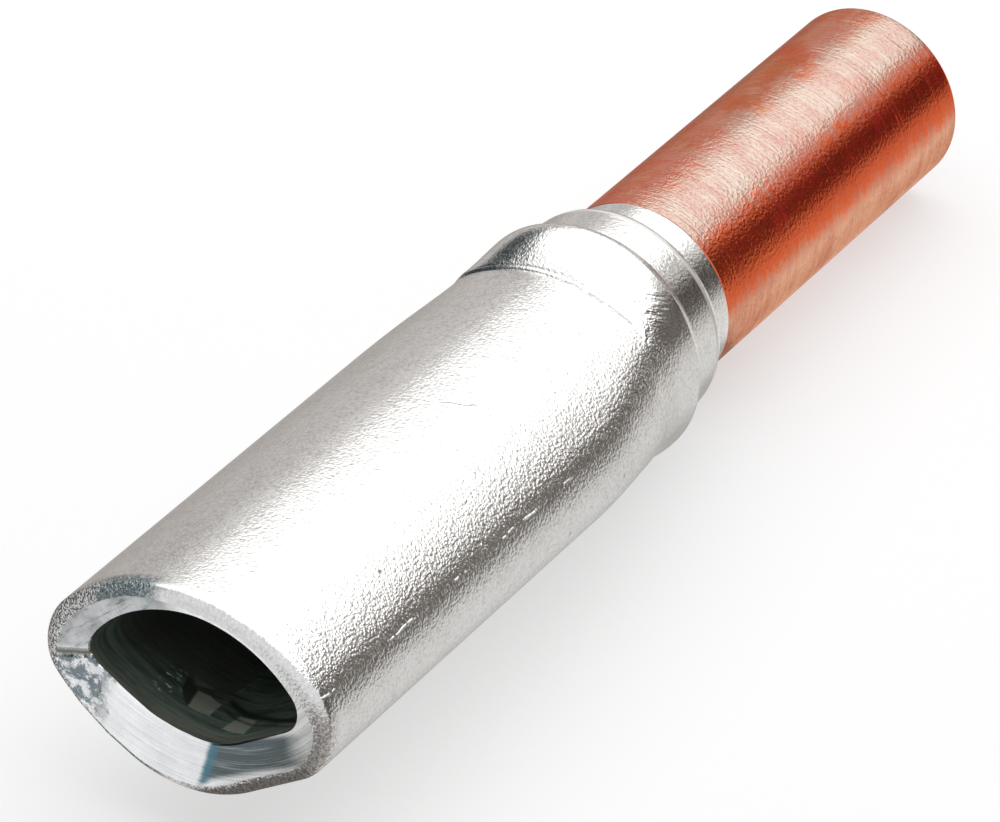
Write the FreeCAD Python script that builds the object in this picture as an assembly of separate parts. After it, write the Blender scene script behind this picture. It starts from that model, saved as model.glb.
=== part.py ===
"""Bimetal sector link, in millimetres.

A one-piece aluminium barrel, pressed from a round turned blank to a 120 degree
sector, is friction welded to a round copper barrel. The link lies along X: the
sector mouth opens towards -X, the copper mouth towards +X, and the arc of the
sector is on top. The origin is the centre of the weld plane.
"""
import FreeCAD, Part
import math
import os

os.makedirs("parts", exist_ok=True)
Vector = FreeCAD.Vector

# Copper barrel
copper_radius = 9.5
copper_length = 44.6
copper_edge_break = 0.4
copper_bore_radius = 6.75
copper_bore_depth = 36.0
copper_bore_chamfer = 0.5

# Aluminium barrel, turned part: lengths follow each other away from the weld
barrel_length = 75.8
neck_length = 3.4
neck_slope_length = 0.8
ring_radius = 11.0
ring_taper = 0.3
ring_length = 3.9
shoulder_step = 0.4
dome_length = 2.1
dome_bulge = 0.75
tube_radius = 12.4
collar_length = 0.4

# Aluminium barrel, pressed part
sector_angle = 120.0
crown_height = 9.75
crown_radius = 18.4
flank_distance = 10.6
corner_radius = 6.4
die_slope_length = 3.7
die_lip_length = 0.9
die_lip_height = 0.35
runout_length = 15.0
runout_flank = 0.2
runout_corner = 2.0
runout_stations = 4
mouth_crown_round = 1.3
mouth_flank_round = 0.5
mouth_round_steps = 3
saw_lean = 1.4

# Sector bore and the round bore behind it
bore_crown_height = 8.0
bore_crown_radius = 12.85
bore_flank_distance = 5.3
bore_vertex_radius = 9.3
bore_corner_radius = 2.55
round_bore_radius = 8.15
round_bore_length = 3.0
bore_blend_length = 7.0
bore_end_wall = 10.5
drill_point_angle = 118.0

# Jointing compound
film_thickness = 0.4
film_setback = 1.2
plug_length = 9.0
plug_dish = 2.0

# Places along X
x_neck = -neck_length
x_ring = x_neck - neck_slope_length
x_step = x_ring - ring_length
x_collar = x_step - dome_length
x_shoulder = x_collar - collar_length
x_lip = x_shoulder - die_slope_length
x_die = x_lip - die_lip_length
x_full = x_die - runout_length
x_mouth = -barrel_length
x_bore_end = -bore_end_wall
x_round_bore = x_bore_end - round_bore_length
x_sector_bore = x_round_bore - bore_blend_length

slope = math.radians(90 - sector_angle / 2)
beyond = 5.0


def drill_point(radius):
    """Length of the cone that a drill of this radius leaves."""
    return radius / math.tan(math.radians(drill_point_angle / 2))


def at(x, y, z):
    return Vector(x, y, z)


def line(start, end):
    return Part.LineSegment(start, end).toShape()


def arc(start, middle, end):
    return Part.Arc(start, middle, end).toShape()


def turned(points):
    """A solid of revolution about X; a point is (x, radius)."""
    corners = [at(x, 0, radius) for x, radius in points]
    face = Part.Face(Part.makePolygon(corners + corners[:1]))
    return face.revolve(Vector(0, 0, 0), Vector(1, 0, 0), 360)


class Sector:
    """A crowned sector section: an arc on top, two flanks, and rounded corners and vertex."""

    def __init__(self, crown, crown_r, flank, vertex_r, corner_r):
        self.crown = crown
        self.crown_r = crown_r
        self.vertex_r = vertex_r
        self.corner_r = corner_r
        self.apex = -flank / math.cos(slope)
        self.arc_centre = crown - crown_r
        self.along = (math.cos(slope), math.sin(slope))
        self.inward = (-math.sin(slope), math.cos(slope))
        # The corner's circle touches the flank from inside and the crown's circle from inside
        start_y = corner_r * self.inward[0]
        start_z = self.apex + corner_r * self.inward[1] - self.arc_centre
        half_b = start_y * self.along[0] + start_z * self.along[1]
        rest = start_y ** 2 + start_z ** 2 - (crown_r - corner_r) ** 2
        reach = -half_b + math.sqrt(half_b ** 2 - rest)
        self.corner_y = start_y + reach * self.along[0]
        self.corner_z = start_z + reach * self.along[1] + self.arc_centre

    def joints(self):
        """The right-hand points where the edges meet: crown to corner, corner to flank, flank to vertex."""
        rise = self.corner_z - self.arc_centre
        scale = self.crown_r / math.hypot(self.corner_y, rise)
        crown_end = (self.corner_y * scale, self.arc_centre + rise * scale)
        flank_top = (self.corner_y - self.corner_r * self.inward[0],
                     self.corner_z - self.corner_r * self.inward[1])
        vertex_z = self.apex + self.vertex_r / math.cos(slope)
        flank_low = (-self.vertex_r * self.inward[0], vertex_z - self.vertex_r * self.inward[1])
        return crown_end, flank_top, flank_low

    def bottom(self):
        return self.apex + self.vertex_r / math.cos(slope) - self.vertex_r

    def wire(self, x):
        """The closed outline in the plane at x, as six edges."""
        crown_end, flank_top, flank_low = self.joints()
        middle_angle = (math.atan2(crown_end[1] - self.corner_z, crown_end[0] - self.corner_y)
                        + slope - math.pi / 2) / 2
        corner_mid = (self.corner_y + self.corner_r * math.cos(middle_angle),
                      self.corner_z + self.corner_r * math.sin(middle_angle))

        def right(point):
            return at(x, point[0], point[1])

        def left(point):
            return at(x, -point[0], point[1])

        edges = [
            arc(left(crown_end), at(x, 0, self.crown), right(crown_end)),
            arc(right(crown_end), right(corner_mid), right(flank_top)),
            line(right(flank_top), right(flank_low)),
            arc(right(flank_low), at(x, 0, self.bottom()), left(flank_low)),
            line(left(flank_low), left(flank_top)),
            arc(left(flank_top), left(corner_mid), left(crown_end)),
        ]
        return Part.Wire(edges)

    def round_wire(self, x, radius):
        """A circle at x, cut into six arcs at the polar angles of this section's joints."""
        angles = [math.atan2(z, y) for y, z in self.joints()]
        angles = [math.pi - angles[0]] + angles + [-math.pi - angles[2], -math.pi - angles[1]]
        angles.append(angles[0] - 2 * math.pi)

        def on_circle(angle):
            return at(x, radius * math.cos(angle), radius * math.sin(angle))

        edges = []
        for first, second in zip(angles, angles[1:]):
            edges.append(arc(on_circle(first), on_circle((first + second) / 2), on_circle(second)))
        return Part.Wire(edges)


def prism(section, x_start, x_end):
    return Part.Face(section.wire(x_start)).extrude(Vector(x_end - x_start, 0, 0))


def turned_blank():
    """The weld neck, the ring, the dome and the collar, which the press leaves round."""
    dome_foot = ring_radius + ring_taper + shoulder_step
    dome_rise = tube_radius - dome_foot
    return turned([
        (0, 0),
        (0, copper_radius),
        (x_neck, copper_radius),
        (x_ring, ring_radius),
        (x_step, ring_radius + ring_taper),
        (x_step, dome_foot),
        (x_step - dome_length / 2, dome_foot + dome_bulge * dome_rise),
        (x_collar, tube_radius),
        (x_shoulder, tube_radius),
        (x_shoulder, 0),
    ])


def outer_section(softness, lip=0.0, crown_inset=0.0, flank_inset=0.0):
    """The pressed section; softness 1 is at the die's edge, where the press has done least."""
    return Sector(crown_height + lip - crown_inset,
                  crown_radius + lip - crown_inset,
                  flank_distance + runout_flank * softness - flank_inset,
                  tube_radius - flank_inset,
                  corner_radius + runout_corner * softness - crown_inset)


def shoulder_section(share):
    """Between the round collar, at share 0, and the die's lip, at share 1."""

    def between(lip_size):
        return tube_radius + (lip_size - tube_radius) * share

    return Sector(between(crown_height + die_lip_height),
                  between(crown_radius + die_lip_height),
                  between(flank_distance + runout_flank),
                  tube_radius,
                  between(corner_radius + runout_corner))


def rounding(radius, back):
    """How far an edge rounded to this radius has drawn in, that far back from the face."""
    if back >= radius:
        return 0.0
    return radius - math.sqrt(radius ** 2 - (radius - back) ** 2)


def sawn(wire):
    """The outline slanted as the saw's cut is: the vertex sticks out a little past the crown."""
    slant = FreeCAD.Matrix()
    slant.A13 = math.tan(math.radians(saw_lean))
    return wire.transformGeometry(slant)


def pressed_body():
    """From the round collar over the die's edge to the full sector, and on to the sawn, rounded mouth."""
    soft = outer_section(1.0)
    soft_lip = outer_section(1.0, die_lip_height)
    halfway = (x_shoulder + x_lip) / 2
    shoulder = Part.makeLoft([soft_lip.round_wire(x_shoulder, tube_radius),
                              shoulder_section(1 - math.cos(math.pi / 4)).wire(halfway),
                              soft_lip.wire(x_lip)], True, True)
    lip = Part.makeLoft([soft_lip.wire(x_lip), soft.wire(x_die)], True, True)
    stations = []
    for step in range(runout_stations + 1):
        share = step / runout_stations
        softness = 1 - share * share * (3 - 2 * share)
        stations.append(outer_section(softness).wire(x_die + (x_full - x_die) * share))
    runout = Part.makeLoft(stations, True, True)
    rim = []
    for step in range(mouth_round_steps + 1):
        back = mouth_crown_round * (1 - math.sin(step / mouth_round_steps * math.pi / 2))
        crown_inset = rounding(mouth_crown_round, back)
        flank_inset = rounding(mouth_flank_round, back)
        rim.append(sawn(outer_section(0.0, 0.0, crown_inset, flank_inset).wire(x_mouth + back)))
    barrel = Part.makeLoft([outer_section(0.0).wire(x_full), rim[0]], True, True)
    rounded = Part.makeLoft(rim, True, True)
    return shoulder.fuse([lip, runout, barrel, rounded])


def bore_section(inset=0.0):
    return Sector(bore_crown_height - inset,
                  bore_crown_radius - inset,
                  bore_flank_distance - inset,
                  bore_vertex_radius - inset,
                  bore_corner_radius - inset)


def bore_space(inset=0.0):
    """The hollow of the barrel: a sector bore that blends into the drilled round bore."""
    section = bore_section(inset)
    radius = round_bore_radius - inset
    sector_bore = prism(section, x_mouth - beyond, x_sector_bore)
    blend_ends = [section.wire(x_sector_bore), section.round_wire(x_round_bore, radius)]
    blend = Part.makeLoft(blend_ends, True, True)
    x_tip = x_bore_end + drill_point(radius)
    round_bore = turned([(x_round_bore, 0), (x_round_bore, radius), (x_bore_end, radius), (x_tip, 0)])
    return sector_bore.fuse([blend, round_bore])


def aluminium_sector_barrel():
    solid = turned_blank().fuse(pressed_body())
    solid = solid.cut(bore_space())
    return solid.removeSplitter()


def copper_barrel():
    x_end = copper_length
    x_wall = x_end - copper_bore_depth
    return turned([
        (0, 0),
        (x_wall - drill_point(copper_bore_radius), 0),
        (x_wall, copper_bore_radius),
        (x_end - copper_bore_chamfer, copper_bore_radius),
        (x_end, copper_bore_radius + copper_bore_chamfer),
        (x_end, copper_radius - copper_edge_break),
        (x_end - copper_edge_break, copper_radius),
        (0, copper_radius),
    ])


def jointing_compound():
    """A film on the bore's wall and a dished plug of compound at its closed end."""
    x_plug = x_bore_end - plug_length
    reach = 2 * tube_radius
    dish_radius = (round_bore_radius ** 2 + plug_dish ** 2) / (2 * plug_dish)
    outside = at(x_mouth - beyond, -reach, -reach)
    room = Part.makeBox(x_plug - x_mouth + beyond, 2 * reach, 2 * reach, outside)
    dish = Part.makeSphere(dish_radius, at(x_plug + plug_dish - dish_radius, 0, 0))
    dish = dish.common(Part.makeCylinder(reach, plug_length, at(x_plug, 0, 0), Vector(1, 0, 0)))
    free_space = bore_space(film_thickness).common(room.fuse(dish))
    filled = bore_space().cut(Part.makeBox(film_setback + beyond, 2 * reach, 2 * reach, outside))
    return filled.cut(free_space)


nodes = {
    "aluminium_sector_barrel": aluminium_sector_barrel,
    "copper_barrel": copper_barrel,
    "jointing_compound": jointing_compound,
}

for name, make in nodes.items():
    shape = make()
    solids = shape.Solids
    if len(solids) == 1:
        shape = solids[0]
    print(name, "solids", len(solids), "valid", shape.isValid(), "volume", round(shape.Volume, 1))
    shape.exportStep("parts/" + name + ".step")
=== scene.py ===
# %% [markdown]
# # Bimetal sector link
# A short piece of aluminium is friction welded to a short piece of copper, so that an aluminium cable can be
# joined to a copper one. The aluminium end was turned round first and then pressed in a die to a 120 degree
# sector, so it holds a sector shaped conductor. The imported model gives every size and place: it is loaded
# first.

# %% Load the frame
import math

import bmesh
import bpy
import numpy as np
from mathutils import Matrix, Vector, noise


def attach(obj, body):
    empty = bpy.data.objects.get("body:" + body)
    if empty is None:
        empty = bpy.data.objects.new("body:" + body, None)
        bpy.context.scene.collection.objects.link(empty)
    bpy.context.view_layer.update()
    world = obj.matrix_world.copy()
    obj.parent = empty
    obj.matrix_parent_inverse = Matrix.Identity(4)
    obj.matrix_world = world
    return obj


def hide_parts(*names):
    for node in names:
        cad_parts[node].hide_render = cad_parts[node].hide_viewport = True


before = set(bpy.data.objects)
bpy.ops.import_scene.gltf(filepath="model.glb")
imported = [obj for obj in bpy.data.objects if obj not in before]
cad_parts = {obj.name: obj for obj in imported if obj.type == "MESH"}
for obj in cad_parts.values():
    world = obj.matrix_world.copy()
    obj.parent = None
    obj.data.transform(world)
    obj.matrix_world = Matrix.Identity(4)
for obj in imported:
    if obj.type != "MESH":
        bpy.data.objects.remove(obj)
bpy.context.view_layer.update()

mm = 0.001
print("nodes:", sorted(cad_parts))

# %% [markdown]
# ## The camera
# The camera stands where the picture was taken from: in front of the sector mouth, a little to its right, and
# about 32 degrees above the table. A long lens keeps the two barrels' sides nearly parallel.

# %% Camera
picture_width = 1000
focal_pixels = 6118
azimuth = math.radians(-146.979)
elevation = math.radians(31.904)
roll = math.radians(-1.721)
camera_distance = 575.6 * mm
aim = Vector((-12.12, 8.39, -8.98)) * mm

lens = bpy.data.cameras.new("camera")
lens.sensor_width = 36
lens.lens = focal_pixels / picture_width * lens.sensor_width
camera = bpy.data.objects.new("camera", lens)
bpy.context.scene.collection.objects.link(camera)
backwards = Vector((math.cos(elevation) * math.cos(azimuth),
                    math.cos(elevation) * math.sin(azimuth),
                    math.sin(elevation)))
turn = backwards.to_track_quat("Z", "Y").to_matrix().to_4x4() @ Matrix.Rotation(roll, 4, "Z")
camera.matrix_world = Matrix.Translation(aim + backwards * camera_distance) @ turn
bpy.context.scene.camera = camera
bpy.context.scene.view_settings.view_transform = "Standard"
print("lens", round(lens.lens, 1), "mm, camera at", [round(v / mm) for v in camera.matrix_world.translation])

# %% [markdown]
# ## Shader sums as plain sums
# A material is a graph of nodes. Written out node by node it is hard to read, so one small class wraps a
# socket: a sum of two of them adds the Math node, and `add` makes any other node. Masks, values from 0 to 1
# that say where something is, get words of their own.

# %% The socket class
class Signal:
    """One output socket of a node tree. Sums on it add Math nodes."""

    def __init__(self, tree, socket):
        self.tree = tree
        self.socket = socket

    def add(self, kind, settings=None, links=None, out=0):
        """A new node: its settings first, then a value or a Signal for each input; returns one output."""
        node = self.tree.nodes.new(kind)
        for name, value in (settings or {}).items():
            setattr(node, name, value)
        for key, value in (links or {}).items():
            if isinstance(value, Signal):
                self.tree.links.new(value.socket, node.inputs[key])
            else:
                node.inputs[key].default_value = value
        return Signal(self.tree, node.outputs[out])

    def math(self, operation, *values):
        return self.add("ShaderNodeMath", {"operation": operation}, dict(enumerate(values)))

    def __add__(self, other):
        return self.math("ADD", self, other)

    def __mul__(self, other):
        return self.math("MULTIPLY", self, other)

    def __sub__(self, other):
        return self.math("SUBTRACT", self, other)

    def __rsub__(self, other):
        return self.math("SUBTRACT", other, self)

    __radd__ = __add__
    __rmul__ = __mul__

    def between(self, low, high):
        """0 below low, 1 above high, and a smooth step from one to the other."""
        return self.add("ShaderNodeMapRange", {"interpolation_type": "SMOOTHSTEP"},
                        {"Value": self, "From Min": low, "From Max": high})

    def near(self, centre, reach):
        """1 at centre, falling smoothly to 0 at that reach on either side."""
        return 1 - self.math("ABSOLUTE", self - centre).between(0.0, reach)

    def stretched(self, x, y, z):
        """These coordinates, multiplied along each axis."""
        return self.add("ShaderNodeVectorMath", {"operation": "MULTIPLY"}, {0: self, 1: (x, y, z)})

    def wandering(self, scale, reach):
        """These coordinates, pushed about by a noise of that scale, by up to that reach."""
        push = self.add("ShaderNodeTexNoise", None, {"Vector": self, "Scale": scale}, 1)
        return self.add("ShaderNodeVectorMath", {"operation": "MULTIPLY_ADD"},
                        {0: push, 1: (reach, reach, reach), 2: self})

    def along(self, direction):
        """How far these coordinates lie along a direction."""
        return self.add("ShaderNodeVectorMath", {"operation": "DOT_PRODUCT"}, {0: self, 1: direction}, 1)

    def close_to(self, point, reach):
        """1 at a point, falling smoothly to 0 at that distance from it."""
        away = self.add("ShaderNodeVectorMath", {"operation": "DISTANCE"}, {0: self, 1: point}, 1)
        return 1 - away.between(0.0, reach)

    def beside(self, other):
        """Two measures as one pair of coordinates, so that a noise can follow them."""
        return self.add("ShaderNodeCombineXYZ", None, {0: self, 1: other})

    def noise(self, scale, detail=2.0, roughness=0.5):
        return self.add("ShaderNodeTexNoise", None,
                        {"Vector": self, "Scale": scale, "Detail": detail, "Roughness": roughness})

    def wobble(self, scale, reach, detail=2.0, roughness=0.5):
        """A noise that goes from minus reach to reach."""
        return self.noise(scale, detail, roughness) * (2 * reach) - reach

    def tinted(self, low, high):
        """A colour between two, by this value."""
        return self.add("ShaderNodeMix", {"data_type": "RGBA"}, {0: self, 6: low, 7: high}, 2)

    def bump(self, depth):
        """A normal for a shader: this is the height, and 1 of it stands for that depth."""
        return self.add("ShaderNodeBump", None, {"Strength": 1.0, "Distance": depth, "Height": self})


def new_material(name):
    """An empty material, and its object coordinates in metres."""
    material = bpy.data.materials.new(name)
    material.use_nodes = True
    tree = material.node_tree
    tree.nodes.clear()
    place = Signal(tree, None).add("ShaderNodeTexCoord", None, None, "Object")
    return material, place


def surface(shader):
    """Joins a finished shader to its tree's output."""
    output = shader.tree.nodes.new("ShaderNodeOutputMaterial")
    shader.tree.links.new(shader.socket, output.inputs["Surface"])


print("a Signal knows", ", ".join(name for name in dir(Signal) if not name.startswith("__")))

# %% [markdown]
# ## Table
# The link touches its pale table in two places only: with the collar, and with the rim of the copper barrel,
# because the weight lies between them. The table is laid through those two places. Its glow is seen by the
# camera and by mirrored rays alone, so it whitens the picture and leaves the shadow.

# %% Table
collar_rest = Vector((-10.7, 0, -12.4)) * mm
rim_rest = Vector((44.1, 0, -9.5)) * mm
table_size = 4.0
table_paint = (0.42, 0.42, 0.42, 1)
table_glow = 0.55
white = (1, 1, 1, 1)


def seen_rays(start):
    """1 for rays that show the background: from the camera, off a mirror or through glass."""
    rays = start.add("ShaderNodeLightPath").socket.node.outputs
    kinds = [Signal(start.tree, rays["Is %s Ray" % kind]) for kind in ("Camera", "Glossy", "Transmission")]
    return start.math("MINIMUM", sum(kinds), 1.0)


def as_object(bm, name, materials):
    """Makes a bmesh an object of the scene, with those materials."""
    mesh = bpy.data.meshes.new(name)
    bm.to_mesh(mesh)
    bm.free()
    for material in materials:
        mesh.materials.append(material)
    piece = bpy.data.objects.new(name, mesh)
    bpy.context.scene.collection.objects.link(piece)
    return piece


def plane(name, size_x, size_y, placed, material):
    """A flat stage plane of that size, centred in its own frame and then placed."""
    bm = bmesh.new()
    bmesh.ops.create_grid(bm, x_segments=1, y_segments=1, size=0.5)
    bmesh.ops.scale(bm, vec=(size_x, size_y, 1), verts=bm.verts)
    piece = as_object(bm, name, [material])
    piece.matrix_world = placed
    return piece


slope = rim_rest - collar_rest
table_angle = math.atan2(slope.z, slope.x)
table_tilt = Matrix.Rotation(-table_angle, 4, "Y")
pale, place = new_material("pale_table")
paint = place.add("ShaderNodeBsdfDiffuse", None, {"Color": table_paint})
glow = place.add("ShaderNodeEmission", None, {"Color": white, "Strength": seen_rays(place) * table_glow})
surface(place.add("ShaderNodeAddShader", None, {0: paint, 1: glow}))
plane("table", table_size, table_size, Matrix.Translation(collar_rest) @ table_tilt, pale)
print("table tilted by", round(math.degrees(table_angle), 2), "degrees")

# %% [markdown]
# ## Things to mirror
# Bright metal shows what is around it, so each of its bands needs something to mirror. Cards stand round the
# table: black before pale on the right, greys at the far end, a dark one on the left. Strips of paper lie
# along the link, and low screens stand beside the copper. Only mirrored rays see any of them.

# %% Cards, mats and screens
card_foot = -0.05
paper_lift = 0.5 * mm
mat_start = -0.075
mat_end = 0.6
shade_end = -0.070
screen_row = -0.060


def mirrored_only(name, size_x, size_y, placed, tone):
    """A stage plane with an even glow that only mirrored rays can see."""
    material, place = new_material(name)
    surface(place.add("ShaderNodeEmission", None, {"Color": (*tone, 1), "Strength": 1.0}))
    piece = plane(name, size_x, size_y, placed, material)
    for kind in ("camera", "diffuse", "shadow", "transmission", "volume_scatter"):
        setattr(piece, "visible_" + kind, False)


def card(name, degrees, distance, left, right, top, tone):
    """An upright card that way from the link, facing it, from left to right of its own middle."""
    azimuth = math.radians(degrees)
    away = Vector((math.cos(azimuth), math.sin(azimuth), 0))
    upright = (-away).to_track_quat("Z", "Y").to_matrix().to_4x4()
    aside = Vector((-away.y, away.x, 0)) * (left + right) / 2
    middle = away * distance + aside + Vector((0, 0, (top + card_foot) / 2))
    mirrored_only(name, right - left, top - card_foot, Matrix.Translation(middle) @ upright, tone)


def mat(name, near, far, tone, start=mat_start, end=mat_end):
    """A strip of paper on the table, from near to far across the link and from start to end along it."""
    middle = Vector(((start + end) / 2, (near + far) / 2, 0)) - Vector((collar_rest.x, 0, 0))
    on_table = Matrix.Translation(collar_rest + Vector((0, 0, paper_lift))) @ table_tilt
    mirrored_only(name, end - start, abs(far - near), on_table @ Matrix.Translation(middle), tone)


def screen(name, start, end, foot, top, tone):
    """A low screen that stands to the right of the link and runs along it."""
    middle = Vector(((start + end) / 2, screen_row, (top + foot) / 2))
    upright = Matrix.Rotation(math.pi / 2, 4, "X")
    mirrored_only(name, end - start, top - foot, Matrix.Translation(middle) @ upright, tone)


card("black_card", -46, 0.5, -0.5, 0.118, 0.37, (0.165, 0.142, 0.124))
card("black_card_copper", -46, 0.5, 0.118, 0.5, 0.325, (0.22, 0.19, 0.165))
card("pale_card", -46, 0.52, -0.5, 0.17, 0.44, (0.72, 0.69, 0.66))
card("tall_card", -82, 0.5, -0.25, 0.25, 0.47, (0.06, 0.058, 0.055))
card("grey_card", 46, 0.5, -0.115, 0.088, 0.39, (0.58, 0.555, 0.54))
card("low_card", 46, 0.49, -0.075, 0.3, 0.10, (0.74, 0.715, 0.70))
card("grey_card_copper", 46, 0.5, -0.375, -0.115, 0.365, (0.68, 0.65, 0.63))
card("dark_card", 98, 0.5, -0.47, 0.43, 0.40, (0.02, 0.035, 0.04))

mat("black_mat", -0.085, -0.6, (0.14, 0.12, 0.105))
mat("mouth_shade_mat", 0.002, -0.0125, (0.20, 0.19, 0.18), -0.086, shade_end)
mat("front_mat", -0.0125, -0.3, (0.52, 0.50, 0.48), -0.3, mat_start)
mat("face_mat", 0.0, -0.0125, (0.30, 0.295, 0.28), -0.3, -0.086)

far_rows = [(0.002, 0.044, 0.045, 0.52), (0.044, 0.072, 0.060, 0.43), (0.072, 0.12, 0.09, 0.53),
            (0.12, 0.3, 0.2, 0.57), (0.3, 0.6, 0.4, 0.59)]
left_tint = (1, 0.94, 0.89)
right_tint = (0.86, 0.80, 0.73)
for near, far, border, tone in far_rows:
    mat("left_mat_%d" % (near / mm), near, far, [tone * share for share in left_tint], mat_start, border)
    mat("right_mat_%d" % (near / mm), near, far, [tone * share for share in right_tint], border, mat_end)

pale_paper = (0.82, 0.82, 0.81)
near_rows = [(0.002, -0.0125, 0.010, (0.50, 0.48, 0.46), (1.05, 1.00, 0.95)),
             (-0.0125, -0.0165, 0.012, pale_paper, (1.20, 1.15, 1.05)),
             (-0.0165, -0.021, 0.0145, pale_paper, (1.05, 1.00, 0.92)),
             (-0.021, -0.030, 0.0195, pale_paper, (0.92, 0.86, 0.80)),
             (-0.030, -0.050, 0.031, pale_paper, (0.84, 0.80, 0.76)),
             (-0.050, -0.085, 0.056, pale_paper, (0.58, 0.55, 0.52))]
for near, far, border, by_aluminium, by_copper in near_rows:
    start = shade_end if near > 0 else mat_start
    mat("mat_%d_aluminium" % (near / mm), near, far, by_aluminium, start, border)
    mat("mat_%d_copper" % (near / mm), near, far, by_copper, border, mat_end)

screen("dark_screen", 0.052, 0.25, 0.0, 0.037, (0.03, 0.02, 0.018))
screen("screen_37", 0.066, 0.25, 0.037, 0.047, (0.38, 0.36, 0.34))
screen("screen_47", 0.066, 0.25, 0.047, 0.057, (0.70, 0.67, 0.64))
screen("screen_57", 0.066, 0.25, 0.057, 0.072, (0.98, 0.95, 0.90))
print(len(far_rows + near_rows), "rows of mats beside the link")

# %% [markdown]
# ## Lamp and sky
# One large soft lamp hangs above and behind the link. Its brightness is what a mirror would show of it, and
# the power follows from its size. The sky is white where it is seen, and dimmer as a light.

# %% Lamp and sky
lamp_place = (0.32, 0.02, 0.62)
lamp_width = 1.25
lamp_depth = 1.3
lamp_brightness = 1.36
sky_light = 0.40

light = bpy.data.lights.new("soft_lamp", "AREA")
light.shape = "RECTANGLE"
light.size = lamp_width
light.size_y = lamp_depth
light.energy = lamp_brightness * math.pi * lamp_width * lamp_depth
lamp = bpy.data.objects.new("soft_lamp", light)
bpy.context.scene.collection.objects.link(lamp)
lamp.location = lamp_place

world = bpy.data.worlds.new("studio")
bpy.context.scene.world = world
world.use_nodes = True
world.node_tree.nodes.clear()
sky = Signal(world.node_tree, None)
strength = seen_rays(sky) * (1 - sky_light) + sky_light
background = sky.add("ShaderNodeBackground", None, {"Color": white, "Strength": strength})
world_output = world.node_tree.nodes.new("ShaderNodeOutputWorld")
world.node_tree.links.new(background.socket, world_output.inputs["Surface"])
print("lamp of", round(light.energy, 1), "W")

# %% [markdown]
# ## Orange peel
# The die leaves the metal with a fine orange peel, small pebbles a few tenths of a millimetre across. They are
# too small to model, so they go into a Bump node. Round cells with narrow valleys would look stamped, so they
# are pushed about and laid over slower and finer noise.

# %% Orange peel
peel_size = 0.29 * mm


def peel(place):
    """Pebbles: rounded cells with narrow valleys, on a slower swell."""
    wander = place.wandering(1 / peel_size, peel_size * 0.7)
    cells = wander.add("ShaderNodeTexVoronoi", {"feature": "SMOOTH_F1"}, {
        "Vector": wander, "Scale": 1 / peel_size, "Smoothness": 0.35, "Randomness": 0.9})
    grain = place.noise(0.8 / peel_size, 2.0, 0.55)
    swell = place.noise(0.22 / peel_size, 1.0)
    fine = place.noise(2.4 / peel_size, 1.0)
    return grain - cells * 0.75 + swell * 0.5 + fine * 0.45


print("peel about", round(peel_size / mm, 2), "mm across")

# %% [markdown]
# ## Marks of the press
# Small marks tell how the barrel was made: wrinkles and a fold where the metal ran against the die's corner,
# a row of thin flash nibs along the corner, a hairline scuff on the crown, a burr low on the rim and a few
# pits. Each mark is a height that is 0 but near its own place, so they are simply added to the peel.

# %% Marks of the press
wrinkle_middle = Vector((-13.3, -9.2, 7.9)) * mm
wrinkle_run = (0.76, -0.42, -0.50)
wrinkle_cross = (-0.65, -0.49, -0.585)
wrinkle_length = 1.8 * mm
wrinkle_width = 0.42 * mm
fold_middle = (-16.0 * mm, -10.08 * mm)
fold_run = (0.857, 0.515)
scuff_middle = (-37.3 * mm, -4.05 * mm)
scuff_run = (0.51, -0.861)
flash_height = 3.35 * mm
flash_places = [(-74.0, 1.2), (-63.2, 1.9), (-60.9, 1.0), (-53.2, 1.4),
                (-45.3, 1.7), (-41.8, 1.6), (-35.6, 0.9)]
burr_y = -8.9 * mm
burr_z = -5.5 * mm
burr_fades = (-74.2 * mm, 0.0)
pit_reach = 0.36 * mm
pits = [Vector(pit) * mm for pit in [(-27.3, -14.5, -0.5), (-36.6, -14.5, -1.4), (-60.3, -10.3, 6.6)]]


def stroke(x, y, middle, run):
    """Seen from above, how far each point lies along a straight stroke and how far beside it."""
    ahead = x - middle[0]
    aside = y - middle[1]
    return ahead * run[0] + aside * run[1], ahead * run[1] - aside * run[0]


def press_marks(place, x, y, z):
    """The marks' height, and where the pits are."""
    ridges = place.along(wrinkle_cross) * (1 / wrinkle_width)
    wrinkles = ridges.beside(place.along(wrinkle_run) * (1 / wrinkle_length)).noise(1.0, 2.0)
    height = wrinkles * place.close_to(wrinkle_middle, 3.6 * mm) * 4.0
    along_fold, beside_fold = stroke(x, y, fold_middle, fold_run)
    height = height + beside_fold.near(0.0, 0.22 * mm) * along_fold.near(0.0, 1.1 * mm)
    along_scuff, beside_scuff = stroke(x, y, scuff_middle, scuff_run)
    beside_scuff = beside_scuff - place.wobble(400, 0.6 * mm, 1.0)
    height = height - beside_scuff.near(0.0, 0.14 * mm) * along_scuff.near(0.0, 3.2 * mm) * 1.2
    dashes = sum(x.near(middle * mm, length * mm) for middle, length in flash_places)
    dashes = dashes * place.noise(1500, 2.0).between(0.36, 0.50) * (1 - y.between(-13 * mm, -12 * mm))
    corner = z + place.wobble(700, 0.25 * mm, 1.0)
    height = height + dashes * corner.near(flash_height, 0.10 * mm) * 2.0
    burr = y.near(burr_y, 0.22 * mm) * z.near(burr_z, 0.6 * mm) * (1 - x.between(*burr_fades))
    holes = sum(place.close_to(pit, pit_reach) for pit in pits)
    return height + burr * 2.0 - holes * 1.2, holes


print(len(flash_places), "flash nibs and", len(pits), "pits")

# %% [markdown]
# ## The aluminium's skin
# The object's own X tells what is pressed and what is turned, so one material serves the whole outside: the
# peel fades out where the die ended, and the neck keeps the fine rings of the lathe. The left side and the
# mouth's rim are sandy. Colours lie one over the other, each by its own mask.

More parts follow.
